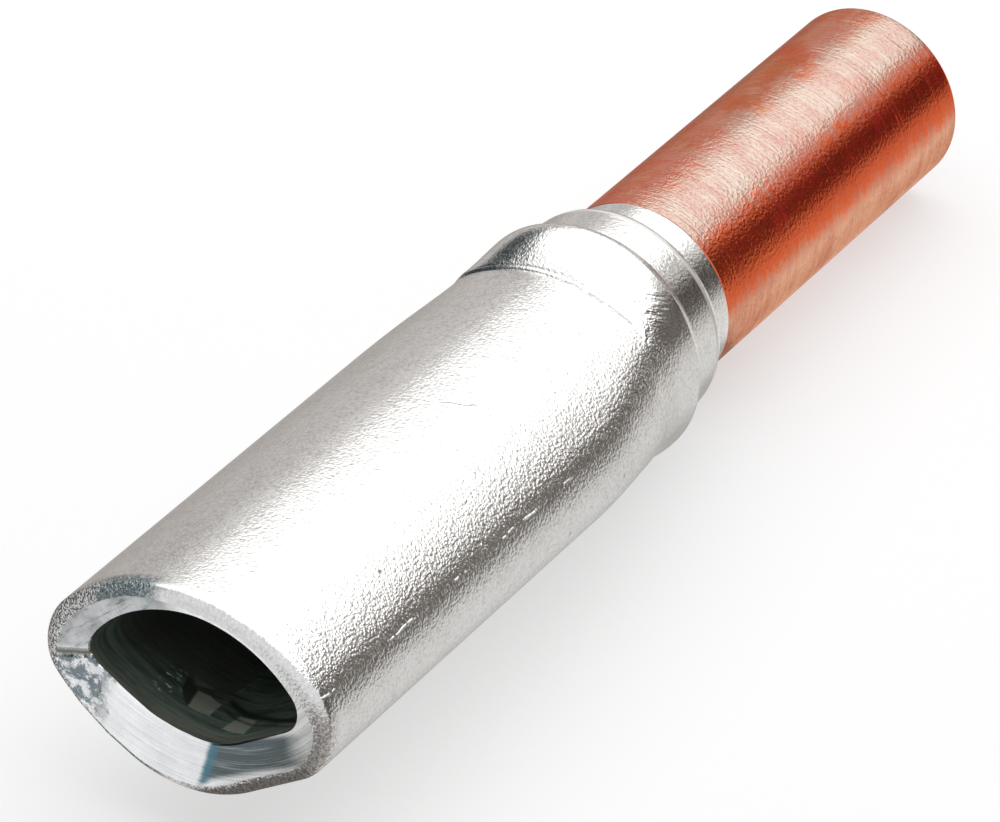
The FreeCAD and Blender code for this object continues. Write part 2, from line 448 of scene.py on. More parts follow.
# %% Aluminium skin
mouth = -75.8 * mm
saw_lean = math.tan(math.radians(1.4))
lip_place = -15.05 * mm
die_place = -15.45 * mm
line_lean = 0.07
pressed_from = -15.6 * mm
pressed_until = -12.6 * mm
peel_height = 0.056 * mm
lathe_pitch = 0.16 * mm
speckle_size = 0.22 * mm
sand_size = 0.14 * mm
valley_grey = (0.58, 0.565, 0.55, 1)
pebble_grey = (0.76, 0.755, 0.745, 1)
# painted shade for the thin lines in the die's grooves
groove_shade_brown = (0.26, 0.22, 0.19)
rim_blue = (0.58, 0.61, 0.63)
rim_brown = (0.30, 0.28, 0.265)
rim_black = (0.075, 0.08, 0.08)
rim_teal = (0.11, 0.155, 0.17)
band_grey = (0.60, 0.58, 0.56)
pit_brown = (0.26, 0.20, 0.16)


def axes(place):
    """The X, Y and Z of the coordinates, each as a Signal."""
    split = place.add("ShaderNodeSeparateXYZ", None, {"Vector": place})
    return [Signal(place.tree, output) for output in split.socket.node.outputs]


def painted(colour, layers):
    """Lays colours over a first one, each as far as its own mask says."""
    for amount, paint in layers:
        colour = amount.tinted(colour, (*paint, 1))
    return colour


def principled(colour, roughness, normal, others):
    """The usual shader, with its other inputs by name."""
    return normal.add("ShaderNodeBsdfPrincipled", None, {
        "Base Color": colour, "Roughness": roughness, "Normal": normal, **others})


def rim_parts(x, y, z):
    """The rounded rim of the mouth: all of it, its left, its right, and the part that shines teal."""
    rim = 1 - (x - z * saw_lean).between(mouth + 0.9 * mm, mouth + 2.2 * mm)
    left = rim * y.between(2 * mm, 6 * mm)
    right = rim * (1 - y.between(0.5 * mm, 4 * mm))
    teal = rim * y.between(1.6 * mm, 3.6 * mm) * (1 - y.between(7.5 * mm, 10.0 * mm))
    return rim, left, right, teal


def aluminium_skin():
    material, place = new_material("aluminium_skin")
    x, y, z = axes(place)
    rim, left_rim, right_rim, teal_rim = rim_parts(x, y, z)
    pressed = 1 - x.between(pressed_from, pressed_until)
    left_side = y.between(-2.0 * mm, 3.5 * mm) * pressed
    pebbles = peel(place)
    speckle = place.noise(1 / speckle_size, 2.0, 0.6)
    sand = place.noise(1 / sand_size, 2.0, 0.6) * left_side * 0.45
    rings = place.stretched(1 / lathe_pitch, 60, 60).noise(1.0, 2.0) * (1 - pressed) * 0.16
    marks, holes = press_marks(place, x, y, z)
    height = pebbles * (pressed * 0.62 + 0.38) * (1 - rim * (y.between(-4 * mm, 2 * mm) * 0.45 + 0.30))
    height = height * (1 - left_side * 0.78) + rings + marks + speckle * left_rim * 5.0 + sand
    cloud = place.noise(90, 3.0, 0.6) * 0.5 + pebbles * 0.9
    # Painted shade: thin dark brown lines in the die's two grooves, broken here and there.
    broken = place.noise(900, 2.0).between(0.35, 0.6) * z.between(6.2 * mm, 7.2 * mm)
    along_die = x - y * line_lean
    die_groove_shade = along_die.near(lip_place, 0.07 * mm) * 0.45 + along_die.near(die_place, 0.10 * mm)
    upper = z.between(1 * mm, 4 * mm)
    dull = x.between(-4.98 * mm, -4.86 * mm) * (1 - x.between(-4.50 * mm, -4.38 * mm))
    dull = dull + x.near(-8.66 * mm, 0.12 * mm) * 0.6
    colour = painted(cloud.between(0.20, 1.05).tinted(valley_grey, pebble_grey), [
        (die_groove_shade * broken * 0.75, groove_shade_brown),
        (right_rim * upper * speckle.between(0.30, 0.70) * 0.55, rim_blue),
        (right_rim * (1 - upper) * (1 - speckle.between(0.36, 0.62)) * 0.85, rim_brown),
        (left_rim * (1 - speckle.between(0.43, 0.57)) * 0.9, rim_black),
        (teal_rim * (0.95 - speckle.between(0.45, 0.60) * 0.4), rim_teal),
        (dull * 0.5, band_grey),
        (holes * 0.7, pit_brown)])
    roughness = place.noise(1600, 2.0) * 0.10 + 0.18 + dull * 0.35
    surface(principled(colour, roughness, height.bump(peel_height), {"Metallic": 1.0}))
    return material


skin = aluminium_skin()
print(skin.name, "has", len(skin.node_tree.nodes), "nodes")

# %% [markdown]
# ## Sawn aluminium
# The mouth was sawn off, so its face shows long fine lines, arcs round a point above the barrel. Where the
# press closed the mouth it tore a patch next to the left corner and left a dark crease above it. The lower
# right side is painted steel blue with a sharp teal edge, a painted reflection. Each patch is a mask in the
# plane of the face, with straight borders that are given by a point and a slope.

# %% Sawn face
saw_pitch = 0.20 * mm
saw_length = 9 * mm
saw_centre = (-1 * mm, 11 * mm)
shear_run = (0.0, 0.80, -0.60)
shear_cross = (0.0, 0.60, 0.80)
face_depth = 0.12 * mm
face_grey = (0.68, 0.70, 0.72, 1)
face_white = (0.98, 0.98, 0.99, 1)
upper_grey = (0.24, 0.255, 0.25)
shear_grey = (0.13, 0.14, 0.135)
corner_grey = (0.52, 0.52, 0.50)
# painted reflection: the steel blue patch low on the right and its teal edge
reflection_blue = (0.066, 0.092, 0.098)
reflection_teal = (0.075, 0.215, 0.27)
torn_blue = (0.080, 0.130, 0.155)
crease_olive = (0.095, 0.092, 0.06)
crease_dark = (0.06, 0.055, 0.04)


def past_line(across, along, point, fall):
    """How far across lies past a line through a point that falls so much for each step along."""
    return (along - point[1]) * fall + across - point[0]


def sawn_face():
    material, place = new_material("sawn_face")
    y, z = axes(place)[1:]
    aside, below = y - saw_centre[0], z - saw_centre[1]
    squares = aside * aside + below * below
    arcs = squares.math("SQRT", squares) * (1 / saw_pitch)
    lines = arcs.beside(y * (1 / saw_length)).noise(1.0, 4.0, 0.65)
    shears = place.along(shear_cross) * (1 / (0.5 * mm))
    shears = shears.beside(place.along(shear_run) * (1 / (3.5 * mm))).noise(1.0, 4.0, 0.7)
    border = place.wobble(500, 1.2 * mm, 3.0, 0.6)
    cloud = place.noise(260, 3.0, 0.6)
    rough = place.noise(900, 4.0, 0.7)

    crease_side = past_line(z, y, (0.0, 12 * mm), 0.26) + border * 0.10
    crease = crease_side.near(0.0, 0.50 * mm) * y.between(8.5 * mm, 9.5 * mm)
    crease_edges = crease_side.near(0.36 * mm, 0.10 * mm) + crease_side.near(-0.36 * mm, 0.10 * mm)
    upper = crease_side.between(0.1 * mm, 0.9 * mm) * y.between(-1.0 * mm, 3 * mm)
    torn = (y + z * 0.35 + border).between(6.2 * mm, 8.8 * mm)
    torn = torn * (1 - crease_side.between(-0.6 * mm, -0.3 * mm))
    # Painted reflection: a steel blue patch on the lower right with a sharp teal edge.
    above_rim = past_line(z, y, (-9.4 * mm, -1.25 * mm), 0.51)
    below_hole = 0.0 - past_line(z, y, (-4.2 * mm, -2.3 * mm), 0.40)
    right_of_teal = 0.0 - (past_line(y, z, (-2.3 * mm, -4.9 * mm), 0.31) + lines * (0.3 * mm))
    blue_reflection = right_of_teal.between(-0.25 * mm, 0.35 * mm) * below_hole.between(-0.3 * mm, 0.5 * mm)
    blue_reflection = blue_reflection * above_rim.between(0.0, 0.9 * mm) * (y + border * 0.5).between(-12.8 * mm, -10.0 * mm)
    teal = right_of_teal.near(0.40 * mm, 0.80 * mm) * above_rim.between(-0.2 * mm, 0.5 * mm)
    teal = teal * below_hole.between(-1.0 * mm, 0.0)
    corner = (1 - (y + border * 0.4).between(-11.0 * mm, -7.6 * mm)) * z.between(-5.5 * mm, -3.5 * mm)

    colour = painted((lines * 0.6 + cloud * 0.4).between(0.3, 0.7).tinted(face_grey, face_white), [
        (upper * (cloud.between(0.3, 0.6) * 0.5 + 0.4), upper_grey),
        (upper * shears.between(0.50, 0.68) * 0.75, shear_grey),
        (corner * (0.9 - lines.between(0.40, 0.65) * 0.5), corner_grey),
        (blue_reflection * (0.95 - lines.between(0.48, 0.75) * 0.35), reflection_blue),
        (teal * (0.95 - lines.between(0.40, 0.70) * 0.4), reflection_teal),
        (torn * rough.between(0.43, 0.55) * 0.85, torn_blue),
        (crease * 0.95, crease_olive),
        (crease * crease_edges * 0.9, crease_dark)])
    height = lines * 0.12 + torn * (rough * 3.0 + place.noise(420, 2.0) * 9.0)
    height = height - crease * 1.4 + upper * shears * 0.8
    surface(principled(colour, lines * 0.15 + 0.20, height.bump(face_depth), {"Metallic": 1.0}))
    return material


sawn = sawn_face()
print("saw lines about", round(saw_pitch / mm, 2), "mm apart")

# %% [markdown]
# ## The barrel's section
# Seen along the axis, the pressed end is an arc on top, two straight flanks at 120 degrees to each other, and
# round corners where they meet. The press only needs one number for each direction, how far the outline lies
# from the axis, and reads it between points that are laid out along the arcs.

# %% Section outline
sector_angle = math.radians(120)
flank_slope = math.pi / 2 - sector_angle / 2
outline_steps = 24


def arc(middle, radius, start, end):
    """Points along an arc, as an array of (y, z)."""
    turn = np.linspace(start, end, outline_steps)
    return np.stack([middle[0] + radius * np.cos(turn), middle[1] + radius * np.sin(turn)], 1)


def sector_outline(crown, crown_radius, flank, vertex_radius, corner_radius, shift=0.0):
    """The directions and distances of a sector's outline, seen from the axis."""
    along = np.array([math.cos(flank_slope), math.sin(flank_slope)])
    inward = np.array([-along[1], along[0]])
    apex = np.array([0.0, -flank / math.cos(flank_slope)])
    crown_middle = np.array([0.0, crown - crown_radius])
    start = apex + corner_radius * inward - crown_middle
    half = start @ along
    reach = -half + math.sqrt(half ** 2 - start @ start + (crown_radius - corner_radius) ** 2)
    corner_middle = start + crown_middle + reach * along
    lean = math.atan2(*(corner_middle - crown_middle)[::-1])
    low_middle = (0.0, apex[1] + vertex_radius / math.cos(flank_slope))
    corner = arc(corner_middle, corner_radius, lean, flank_slope - math.pi / 2)
    vertex = arc(low_middle, vertex_radius, flank_slope - math.pi / 2, -math.pi / 2)
    top = arc(crown_middle, crown_radius, math.pi / 2, lean)
    flat = np.linspace(corner[-1], vertex[0], outline_steps)[1:-1]
    right = np.concatenate([top, corner, flat, vertex])
    whole = np.concatenate([right, right[::-1] * [-1, 1]]) + [shift, 0]
    direction = np.arctan2(whole[:, 1], whole[:, 0])
    order = np.argsort(direction)
    return direction[order], np.hypot(*whole[order].T)


def smooth(share):
    """0 to 1 with a soft start and a soft end."""
    share = np.clip(share, 0.0, 1.0)
    return share * share * (3 - 2 * share)


print("flanks slope by", round(math.degrees(flank_slope)), "degrees")

# %% [markdown]
# ## The blank
# The real barrel starts as a turned blank, and so does this one: half of its section is drawn as a line, and a
# spin turns it into a closed solid with the bore in it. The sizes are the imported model's. Where the press will
# bend the metal sharply, the line gets more points.

# %% Turned blank
weld_radius = 9.5 * mm
weld_bevel = 0.05 * mm
neck_end = -3.4 * mm
ring_start = -4.2 * mm
ring_end = -8.6 * mm
ring_radius = 11.0 * mm
ring_far_radius = 11.3 * mm
ring_swell = 0.10 * mm
dome_foot_radius = 11.40 * mm
dome_end = -10.2 * mm
tube_radius = 12.4 * mm
shoulder = -11.2 * mm
die_margin = 0.6 * mm
bore_radius = 8.15 * mm
bore_bevel = 0.12 * mm
bore_end = -10.5 * mm
bore_tip = -5.6 * mm
edge_unit = 1.0 * mm
edge_steps = 8
segments = 192


def draw_to(line, x, radius, steps=1, rise=0.0):
    """Goes on from the line's last point, straight or in a shallow bow that stands out by rise."""
    start = line[-1].copy()
    end = Vector((x, 0, radius))
    across = Vector((end.z - start.z, 0, -(end.x - start.x))).normalized()
    for step in range(1, steps + 1):
        share = step / steps
        line.append(start.lerp(end, share) + across * rise * 4 * share * (1 - share))


def round_edge(line, end, radius, inward):
    """Rounds the outside over to an end face; inward is how far back from the end that starts."""
    for step in range(1, edge_steps + 1):
        turn = step / edge_steps * math.pi / 2
        line.append(Vector((end + inward * (1 - math.sin(turn)), 0,
                            radius - abs(inward) * (1 - math.cos(turn)))))


def spun(line, steps):
    """A bmesh of the line turned once around X, with its seam and its poles closed."""
    bm = bmesh.new()
    verts = [bm.verts.new(point) for point in line]
    edges = [bm.edges.new(pair) for pair in zip(verts, verts[1:])]
    bmesh.ops.spin(bm, geom=verts + edges, cent=(0, 0, 0), axis=(1, 0, 0), angle=2 * math.pi,
                   steps=steps, use_merge=True)
    bmesh.ops.remove_doubles(bm, verts=bm.verts, dist=1e-7)
    bmesh.ops.recalc_face_normals(bm, faces=bm.faces)
    return bm


def blank_line():
    """Half the blank's section, from the weld's centre over the outside to the bottom of the bore."""
    line = [Vector((0, 0, 0))]
    draw_to(line, 0, weld_radius - weld_bevel, 4)
    draw_to(line, -weld_bevel, weld_radius)
    draw_to(line, neck_end, weld_radius, 8)
    draw_to(line, ring_start + 0.12 * mm, ring_radius - ring_swell, 6, -0.12 * mm)
    draw_to(line, ring_start - 0.68 * mm, ring_radius + ring_swell, 6, 0.035 * mm)
    draw_to(line, ring_start - 0.76 * mm, ring_radius + ring_swell)
    draw_to(line, ring_end + 0.14 * mm, ring_far_radius, 8)
    draw_to(line, ring_end + 0.07 * mm, ring_far_radius + 0.002 * mm)
    draw_to(line, ring_end - 0.05 * mm, dome_foot_radius, 3, 0.01 * mm)
    draw_to(line, dome_end, tube_radius, 8, 0.07 * mm)
    draw_to(line, shoulder, tube_radius, 4)
    draw_to(line, lip_place + die_margin, tube_radius, 6)
    draw_to(line, die_place - die_margin, tube_radius, 22)
    draw_to(line, mouth + edge_unit, tube_radius, 105)
    round_edge(line, mouth, tube_radius, edge_unit)
    draw_to(line, mouth, bore_radius + bore_bevel, 22)
    draw_to(line, mouth + bore_bevel, bore_radius)
    draw_to(line, bore_end, bore_radius, 60)
    draw_to(line, bore_tip, 0, 4)
    return line


blank = spun(blank_line(), segments)
print("blank has", len(blank.faces), "faces")

# %% [markdown]
# ## Shapes along the barrel
# Just past the collar the die's edge has left a small lip between two thin grooves, and behind it the metal
# needs some length to come to the full sector. The hole was pressed a little off centre, and goes from sector
# at the mouth to round at its bottom. Near the mouth the left flank is dented and the hole is uneven.

# %% Outlines at each place
crown = 9.75 * mm
crown_radius = 18.4 * mm
flank = 10.6 * mm
corner_radius = 6.4 * mm
slope_start = -10.4 * mm
rise_end = -19.0 * mm
full_place = -30.2 * mm
lip_height = 0.24 * mm
soft_flank = 0.2 * mm
soft_corner = 2.0 * mm
hole_crown = 8.0 * mm
hole_crown_radius = 12.85 * mm
hole_flank = 5.3 * mm
hole_vertex_radius = 9.3 * mm
hole_corner_radius = 2.55 * mm
hole_shift = -1.0 * mm
hole_shift_end = -35 * mm
hole_full = -20.5 * mm
hole_round = -13.5 * mm
groove_depth = 0.09 * mm
groove_width = 0.11 * mm
uneven_length = 14 * mm
trims = {-120: 0, -92: -0.2, -64: -0.12, -41: 0.14, -16: 0.22, -3: 0.05, 4.5: 0.26, 8: 0.17, 12: -0.05,
         16: -0.2, 60: -0.2, 75: -0.15, 100: 0}


def outside_at(x, lip_share=1.0):
    """The outline of the pressed outside at x; on the slope up to the collar it stays as at the lip."""
    x = min(x, lip_place)
    softness = 1 - smooth((die_place - x) / (die_place - full_place))
    lip = lip_share * lip_height * smooth((x - die_place) / (lip_place - die_place))
    return sector_outline(crown + lip, crown_radius + lip, flank + soft_flank * softness, tube_radius,
                          corner_radius + soft_corner * softness)


def hole_at(x):
    """The outline of the pressed hole at x."""
    shift = hole_shift * smooth((hole_shift_end - x) / (hole_shift_end - mouth))
    return sector_outline(hole_crown, hole_crown_radius, hole_flank,
                          hole_vertex_radius, hole_corner_radius, shift)


def across_rings(places, outline_at):
    """The outline's distance for every point; points that share an X share an outline."""
    direction = np.arctan2(places[:, 2], places[:, 1])
    distance = np.zeros(len(places))
    stations = np.round(places[:, 0] / mm, 4)
    for station in np.unique(stations):
        same = stations == station
        distance[same] = np.interp(direction[same], *outline_at(station * mm), period=2 * math.pi)
    return distance


def die_slope(x, rises):
    """0 at the round collar, 1 in the die: the crown falls ever more steeply, the corners rise softly."""
    fall = 1 - np.cos(np.clip((slope_start - x) / (slope_start - lip_place), 0, 1) * math.pi / 2)
    return np.where(rises, smooth((slope_start - x) / (slope_start - rise_end)), fall)


def die_grooves(x, on_crown):
    """The two thin grooves that the die's edge has cut on either side of the lip, on the crown only."""
    cut = np.exp(-((x - lip_place) / groove_width) ** 2) * 0.5 + np.exp(-((x - die_place) / groove_width) ** 2)
    return np.where(on_crown, cut * groove_depth, 0)


def by_mouth(x, length):
    """1 at the mouth, falling softly to 0 at that length behind it."""
    return 1 - smooth((x - mouth) / length)


def by_direction(direction, values):
    """A size for every direction, read between those in mm that are given for some angles in degrees."""
    return np.interp(np.degrees(direction), list(values), list(values.values()), period=360) * mm


def hole_wall(places, x, direction):
    """How far the hole's wall lies from the axis; at the mouth its left corner is a little sharper."""
    share = smooth((hole_round - x) / (hole_round - hole_full))
    wall = bore_radius + (across_rings(places, hole_at) - bore_radius) * share
    return wall + by_direction(direction, trims) * by_mouth(x, uneven_length)


print("full sector up to x", round(full_place / mm, 1), "mm")

# %% [markdown]
# ## The press
# The press moves every ring of the blank from round to sector: each point keeps its direction from the axis
# and takes the outline's distance. Points in the wall of the mouth are shared out between the outside and the
# hole. Last the mouth leans with the saw's cut, and the die's line leans across the barrel.

# %% Press the blank
hair = 0.001
lip_fades = -11.0 * mm
lip_fade = 2 * mm
lean_length = 15 * mm
lean_window = 4 * mm
thinnest_wall = 0.25 * mm
edge_depth = 0.55
edge_room = 5 * mm
edge_rounds = {-180: 1.5, -160: 1.6, -127: 1.45, -111: 1.15, -97: 0.85, -85: 0.70, -60: 0.40, -20: 0.35,
               -8: 0.80, 0: 1.45, 12: 1.75, 35: 1.4, 55: 1.15, 87: 1.35, 104: 1.6, 126: 2.0, 150: 2.3,
               163: 2.2, 171: 1.8}
dents = {-180: 0, -41: 0, -33: 0.25, -26.5: 0.55, -19.4: 0.90, -13: 0.65, -9.7: 0.42, -5: 0.12, 0: 0, 180: 0}


def points_of(bm):
    """The places of all points of a bmesh, as an array."""
    return np.array([vert.co for vert in bm.verts])


def move_to(bm, places):
    for vert, place in zip(bm.verts, places):
        vert.co = place


def outer_wall(places, x, y, direction):
    """How far the pressed outside lies from the axis, with its lip, its grooves and its dent."""
    has_lip = smooth((y - lip_fades) / lip_fade)
    plain = across_rings(places, lambda station: outside_at(station, 0.0))
    outer = plain + (across_rings(places, outside_at) - plain) * has_lip
    outer = tube_radius + (outer - tube_radius) * die_slope(x, outer > tube_radius)
    outer = outer - die_grooves(x, outer < tube_radius) * has_lip
    return outer - by_direction(direction, dents) * by_mouth(x, uneven_length)


def press(bm):
    """Moves the blank's points to the pressed shape."""
    places = points_of(bm)
    x, y, z = places.T
    radius = np.hypot(y, z)
    direction = np.arctan2(z, y)
    inset = tube_radius - radius
    on_outside = inset <= edge_unit * (1 + hair)
    past_bore = radius > bore_radius * (1 + hair)
    outer = outer_wall(places, x, y, direction)
    inner = hole_wall(places, x, direction)
    edge = np.minimum(by_direction(direction, edge_rounds), outer - inner - thinnest_wall)

    share = np.clip((inset - edge_unit) / (tube_radius - bore_radius - edge_unit), 0, 1)
    in_wall = outer - edge - (outer - edge - inner) * share
    new_radius = np.where(on_outside, outer - inset / edge_unit * edge, in_wall)
    new_radius = np.where(radius < bore_radius * (1 - hair), inner * radius / bore_radius, new_radius)
    new_radius = np.where((x > slope_start) & past_bore, radius, new_radius)

    deep = edge_depth * edge
    back = np.clip((x - mouth - edge_unit) / edge_room, 0, 1)
    behind_edge = x + np.where(on_outside, (deep - edge_unit) * (1 - back), 0)
    on_edge = on_outside & (x < mouth + edge_unit * (1 + hair))
    x = np.where(on_edge, mouth + (x - mouth) * deep / edge_unit, behind_edge)

    y, z = new_radius * np.cos(direction), new_radius * np.sin(direction)
    on_die = (1 - smooth(np.abs(x - die_place) / lean_window)) * past_bore
    x = x + saw_lean * z * by_mouth(x, lean_length) + line_lean * y * on_die
    move_to(bm, np.stack([x, y, z], 1))


for face in blank.faces:
    middle = face.calc_center_median()
    out = math.hypot(middle.y, middle.z)
    in_mouth = middle.x < mouth + 0.01 * mm and out < tube_radius - edge_unit
    in_bore = middle.x < bore_tip and out < bore_radius * 1.02
    face.material_index = int(in_mouth or in_bore)
press(blank)
print(sum(face.material_index for face in blank.faces), "sawn and bored faces")

# %% [markdown]
# ## A finished piece
# Every piece ends in the same way: its faces are shaded smooth and its sharp edges kept, it becomes an object
# at the origin, rides on the only body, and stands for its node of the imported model.

# %% Aluminium piece
sharp_angle = math.radians(40)


def finish_piece(bm, name, materials, node):
    """Makes the bmesh an object that stands for a CAD node and rides on the root body."""
    bm.normal_update()
    for face in bm.faces:
        face.smooth = True
    for edge in bm.edges:
        if len(edge.link_faces) == 2 and edge.calc_face_angle(0.0) > sharp_angle:
            edge.smooth = False
    triangles = sum(len(face.verts) - 2 for face in bm.faces)
    piece = as_object(bm, name, materials)
    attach(piece, "root")
    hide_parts(node)
    print(name, "has", triangles, "triangles")


finish_piece(blank, "aluminium_pressing", [skin, sawn], "aluminium_sector_barrel")

# %% [markdown]
# ## Copper
# Its colour is two things at once: the bare metal, which mirrors pale and pinkish, and a thin oxide skin under
# the shine, deep red where there is nothing bright to mirror. So two shaders are mixed. The crown, where the
# lamp's highlight falls, is painted a dull grey, a painted highlight tone, with orange patches to its left.
# Along the right, where the dark band is mirrored, a ragged red stripe is a painted reflection.

# %% Copper skin
groove_places = [(34.4, 0.14), (35.0, 0.10), (41.3, 0.12), (1.1, 0.14), (2.0, 0.10), (2.7, 0.10)]
scratch_depth = 0.020 * mm
metal_dark = (0.66, 0.37, 0.25, 1)
metal_pale = (0.76, 0.58, 0.49, 1)
metal_tint = (0.85, 0.55, 0.40, 1)
# painted highlight tone for the crown
crown_highlight_grey = (0.435, 0.425, 0.365)
patch_orange = (0.60, 0.24, 0.11)
# painted reflection of the dark band along the right
band_reflection_red = (0.77, 0.165, 0.068)
oxide_dark = (0.52, 0.017, 0.016, 1)
oxide_light = (0.62, 0.036, 0.028, 1)


def leaning(degrees):
    """The direction across the barrel that leans so many degrees to the left of straight up."""
    return (0.0, math.sin(math.radians(degrees)), math.cos(math.radians(degrees)))


def copper_skin():
    material, place = new_material("copper_skin")
    x = axes(place)[0]
    scratches = place.stretched(4600, 90, 90).noise(1.0, 3.0, 0.65)
    coarse = place.stretched(1500, 50, 50).noise(1.0, 2.0)
    grain = place.noise(2800, 2.0, 0.6)
    blotch = place.noise(170, 5.0, 0.7)
    grooves = sum(x.near(middle * mm, reach * mm) for middle, reach in groove_places)
    near_weld = 1 - x.between(6 * mm, 30 * mm)
    height = scratches * 0.6 + coarse * 0.4 + grain * (near_weld * 1.3 + 2.2) - grooves * 0.8
    bump = height.bump(scratch_depth)
    # Painted highlight: the crown, where the lamp's highlight falls, is painted a dull grey.
    crown_highlight = (place.along(leaning(-19)) + blotch * (1.6 * mm)).between(9.0 * mm, 10.2 * mm)
    patches = place.noise(150, 4.0, 0.7).between(0.46, 0.62)
    patches = patches * place.along(leaning(9)).between(8.9 * mm, 9.35 * mm)
    # Painted reflection: a ragged deep red stripe where the dark band is mirrored on the right.
    ragged = (blotch + scratches + grain * 0.7 - 1.35) * (1.6 * mm)
    band_reflection = (place.along(leaning(-64)) + ragged).between(8.3 * mm, 9.3 * mm)
    metal_colour = painted(blotch.tinted(metal_dark, metal_pale), [
        (crown_highlight * 0.88, crown_highlight_grey), (patches * 0.75, patch_orange), (band_reflection, band_reflection_red)])
    metal = principled(metal_colour, scratches * 0.08 + blotch * 0.06 + 0.12, bump,
                       {"Metallic": 1.0, "Specular Tint": metal_tint})
    oxide = principled(blotch.tinted(oxide_dark, oxide_light), 0.5, bump, {"Specular IOR Level": 0.0})
    bare = blotch.between(0.32, 0.60) * 0.16 + scratches * 0.5 + coarse * 0.2 + grain * 0.3 + 0.07
    surface(place.add("ShaderNodeMixShader", None, {0: bare.between(0.0, 1.0), 1: oxide, 2: metal}))
    return material


copper = copper_skin()
print(copper.name, "has", len(copper.node_tree.nodes), "nodes")

# %% [markdown]
# ## The copper barrel
# Copper turned to size, with a rounded rim, and a drilled hole with a chamfer and the drill's cone at its
# bottom. It is spun as the blank is, and needs no press.

# %% Copper barrel
copper_length = 44.6 * mm
drill_radius = 6.75 * mm
drill_end = 8.6 * mm
drill_tip = 4.54 * mm
weld_groove = 0.12 * mm
rim_round = 0.5 * mm
bore_chamfer = 0.5 * mm


def copper_line():
    """Half the copper's section, drawn as the blank's is."""
    line = [Vector((0, 0, 0))]
    draw_to(line, 0, weld_radius - weld_groove, 4)
    draw_to(line, weld_groove, weld_radius)
    draw_to(line, copper_length - rim_round, weld_radius, 60)
    round_edge(line, copper_length, weld_radius, -rim_round)
    draw_to(line, copper_length, drill_radius + bore_chamfer, 3)
    draw_to(line, copper_length - bore_chamfer, drill_radius, 2)
    draw_to(line, drill_end, drill_radius, 30)
    draw_to(line, drill_tip, 0, 4)
    return line


finish_piece(spun(copper_line(), segments), "copper_tube", [copper], "copper_barrel")

# %% [markdown]
# ## Jointing grease
# The hole comes filled with a grease full of zinc grains, which bites through the oxide when the barrel is
# crimped. It is nearly black, with grey green streaks along the wall. A lump lies on the floor of the hole,
# with a gap beside it painted black as shade and two facets painted pale as lit, all drawn by their corners
# with a wandering border. Dark bands on the wall's right and the hole's deep end are painted shade.

# %% Grease skin
# Corners on the hole's floor: a gap painted black as shade, a lump, and two facets painted pale as lit.
gap_shade_corners = [(-71.57, 3.38), (-72.84, 2.07), (-70.51, 2.44), (-69.85, 3.94)]
green_lump = [(-70.0, 2.9), (-69.7, 1.3), (-68.1, 1.8), (-67.3, 3.9), (-68.8, 4.2)]
lit_facets = [[(-72.83, 1.93), (-72.74, -0.3), (-70.96, -0.3), (-70.55, 1.05), (-70.74, 2.29)],
                [(-73.62, -2.13), (-74.13, -4.82), (-72.1, -4.81), (-71.51, -2.69)]]
glint_middle = Vector((-71.8, 4.9, -3.2)) * mm
streak_depth = 0.12 * mm
grease_dark = (0.040, 0.058, 0.046, 1)
grease_light = (0.160, 0.205, 0.172, 1)
thin_olive = (0.150, 0.148, 0.120)
# Painted light and shade, all but the lump's green: lit facets, dark bands, the deep end and the gap.
lit_facet_grey = (0.36, 0.375, 0.32)
band_shade_black = (0.016, 0.021, 0.017)
lump_green = (0.19, 0.26, 0.19)
deep_shade_grey = (0.062, 0.068, 0.058)
gap_shade_black = (0.040, 0.044, 0.038)
glint_pale = (0.75, 0.95, 0.88)


def inside(place, corners, soft):
    """1 inside a patch on the hole's floor, its corners given as (x, y) in mm, turning left."""
    depth = None
    for (x0, y0), (x1, y1) in zip(corners, corners[1:] + corners[:1]):
        length = math.hypot(x1 - x0, y1 - y0)
        inward = (-(y1 - y0) / length, (x1 - x0) / length, 0.0)
        edge = place.along(inward) - (x0 * inward[0] + y0 * inward[1]) * mm
        depth = edge if depth is None else depth.math("MINIMUM", depth, edge)
    return depth.between(-soft, soft)


